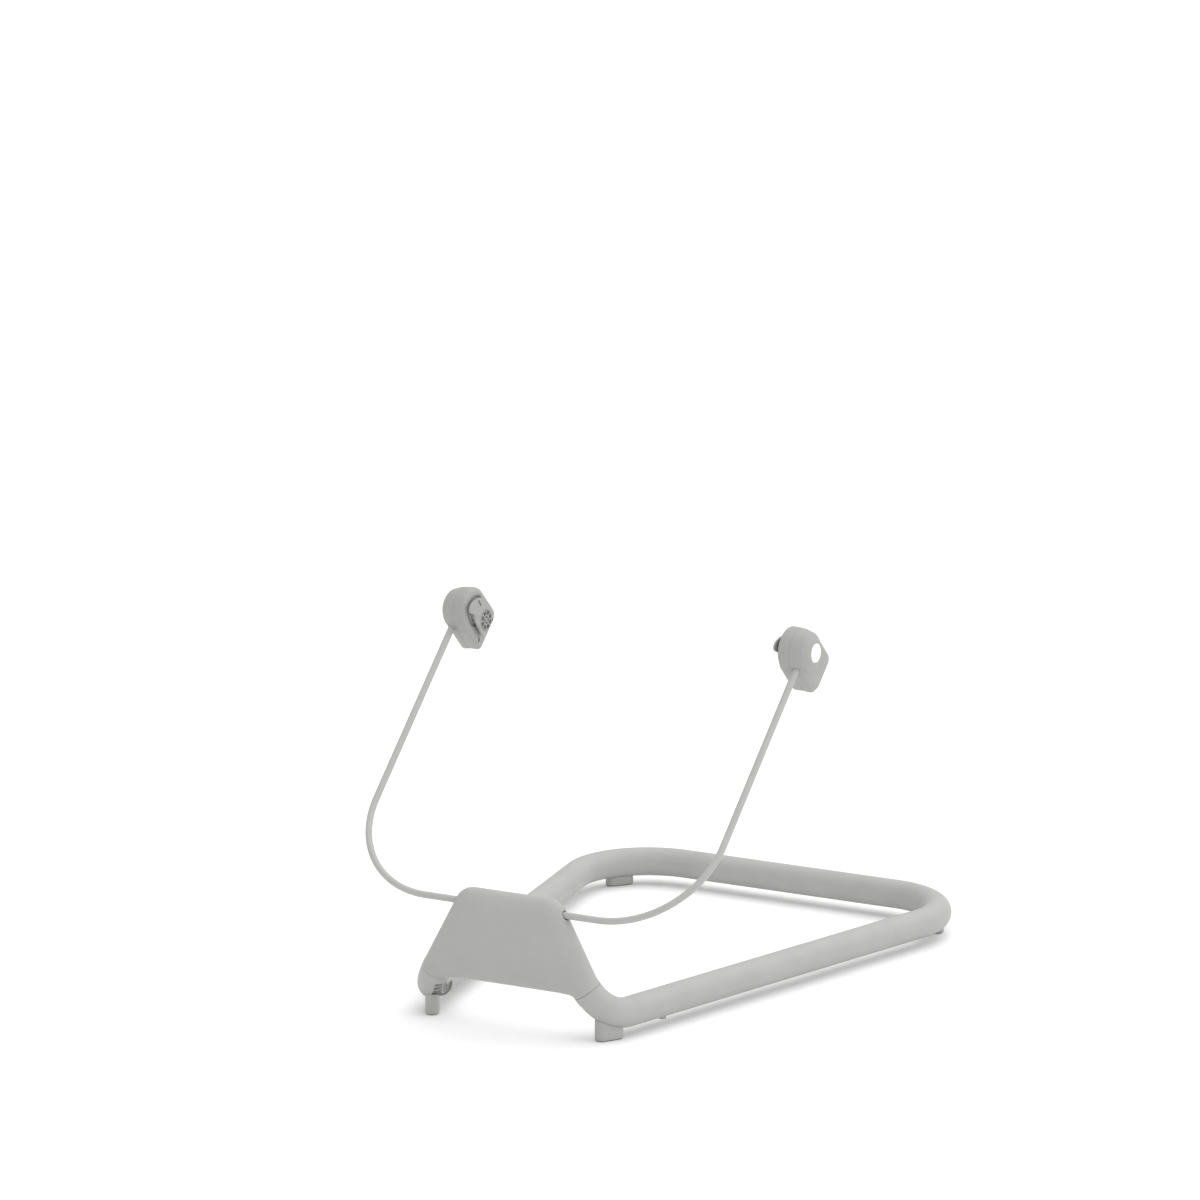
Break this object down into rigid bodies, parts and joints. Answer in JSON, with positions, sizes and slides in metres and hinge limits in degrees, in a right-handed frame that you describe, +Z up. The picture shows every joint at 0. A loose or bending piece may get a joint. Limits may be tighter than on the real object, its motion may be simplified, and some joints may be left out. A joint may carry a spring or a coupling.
{
  "type": "baby bouncer",
  "caption": "Baby bouncer stand: tapered tube base with a raised front arch, a sprung U-shaped wire leaning back, and turning seat mounts on its ends.",
  "frame": {"origin": "on the floor, under the middle of the bounding box", "axes": "+X to the stand's right as seen from the arch, +Y from the arch to the rear bar, +Z up"},
  "size_m": [0.5134, 0.7049, 0.4449],
  "materials": {
    "tube_paint": "matt powder coat",
    "grey_plastic": "fine matt texture",
    "wire_coat": "matt powder coat",
    "rubber_pad": "matt",
    "white_plastic": "satin",
    "natural_nylon": "satin",
    "zinc_steel": "zinc plated"
  },
  "bodies": {
    "base": {"arch_housing": "grey_plastic", "base_tube": "tube_paint", "clamp_screw_left": "zinc_steel", "clamp_screw_right": "zinc_steel", "corner_insert_left": "grey_plastic", "corner_insert_right": "grey_plastic", "cover_screw_lower_left": "zinc_steel", "cover_screw_lower_right": "zinc_steel", "cover_screw_upper_left": "zinc_steel", "cover_screw_upper_right": "zinc_steel", "foot_front_left": "grey_plastic", "foot_front_right": "grey_plastic", "foot_rear_left": "grey_plastic", "foot_rear_right": "grey_plastic", "foot_screw_front_left": "zinc_steel", "foot_screw_front_right": "zinc_steel", "foot_screw_rear_left": "zinc_steel", "foot_screw_rear_right": "zinc_steel", "pad_front_left": "rubber_pad", "pad_front_right": "rubber_pad", "pad_rear_left": "rubber_pad", "pad_rear_right": "rubber_pad", "rear_cover": "grey_plastic", "snap_spring_left": "zinc_steel", "snap_spring_right": "zinc_steel", "wire_bush_left": "natural_nylon", "wire_bush_right": "natural_nylon", "wire_clamp": "zinc_steel"},
    "rocker": {"inner_shell_left": "grey_plastic", "inner_shell_right": "grey_plastic", "outer_shell_left": "grey_plastic", "outer_shell_right": "grey_plastic", "shell_screw_lower_left": "zinc_steel", "shell_screw_lower_right": "zinc_steel", "shell_screw_upper_left": "zinc_steel", "shell_screw_upper_right": "zinc_steel", "spring_wire": "wire_coat", "wire_ferrule_left": "zinc_steel", "wire_ferrule_right": "zinc_steel", "wire_pin_left": "zinc_steel", "wire_pin_right": "zinc_steel"},
    "plate_left": {"seat_plate_left": "grey_plastic", "seat_socket_left": "grey_plastic", "neck_ring_left": "zinc_steel", "release_spring_left": "zinc_steel"},
    "gear_left": {"lock_gear_left": "natural_nylon"},
    "button_left": {"release_button_left": "grey_plastic", "button_disc_left": "white_plastic"},
    "snap_left": {"snap_button_left": "grey_plastic"},
    "plate_right": {"seat_plate_right": "grey_plastic", "seat_socket_right": "grey_plastic", "neck_ring_right": "zinc_steel", "release_spring_right": "zinc_steel"},
    "gear_right": {"lock_gear_right": "natural_nylon"},
    "button_right": {"release_button_right": "grey_plastic", "button_disc_right": "white_plastic"},
    "snap_right": {"snap_button_right": "grey_plastic"}
  },
  "joints": [
    {"name": "wire_bounce", "type": "hinge", "parent": "base", "child": "rocker", "pos_m": [0, -0.335, 0.1446], "axis": [1, 0, 0], "range_deg": [-12, 3], "stiffness_Nm_per_rad": 270, "springref_deg": 0.22},
    {"name": "recline_left", "type": "hinge", "parent": "rocker", "child": "plate_left", "pos_m": [-0.23125, -0.06248, 0.41712], "axis": [1, 0, 0], "range_deg": [-25, 20]},
    {"name": "button_press_left", "type": "slide", "parent": "rocker", "child": "button_left", "axis": [1, 0, 0], "range_m": [0, 0.003], "stiffness_N_per_m": 1500, "springref_m": -0.002},
    {"name": "gear_slide_left", "type": "slide", "parent": "plate_left", "child": "gear_left", "axis": [1, 0, 0], "range_m": [0, 0.003], "deforming": ["release_spring_left"]},
    {"name": "snap_press_left", "type": "slide", "parent": "base", "child": "snap_left", "axis": [0, 0, 1], "range_m": [0, 0.003], "stiffness_N_per_m": 800, "springref_m": -0.002, "deforming": ["snap_spring_left"]},
    {"name": "recline_right", "type": "hinge", "parent": "rocker", "child": "plate_right", "pos_m": [0.23125, -0.06248, 0.41712], "axis": [1, 0, 0], "range_deg": [-25, 20]},
    {"name": "button_press_right", "type": "slide", "parent": "rocker", "child": "button_right", "axis": [-1, 0, 0], "range_m": [0, 0.003], "stiffness_N_per_m": 1500, "springref_m": -0.002},
    {"name": "gear_slide_right", "type": "slide", "parent": "plate_right", "child": "gear_right", "axis": [-1, 0, 0], "range_m": [0, 0.003], "deforming": ["release_spring_right"]},
    {"name": "snap_press_right", "type": "slide", "parent": "base", "child": "snap_right", "axis": [0, 0, 1], "range_m": [0, 0.003], "stiffness_N_per_m": 800, "springref_m": -0.002, "deforming": ["snap_spring_right"]}
  ],
  "couplings": [
    {"joint": "gear_slide_left", "follows": "button_press_left", "ratio": 1},
    {"joint": "gear_slide_right", "follows": "button_press_right", "ratio": 1}
  ]
}
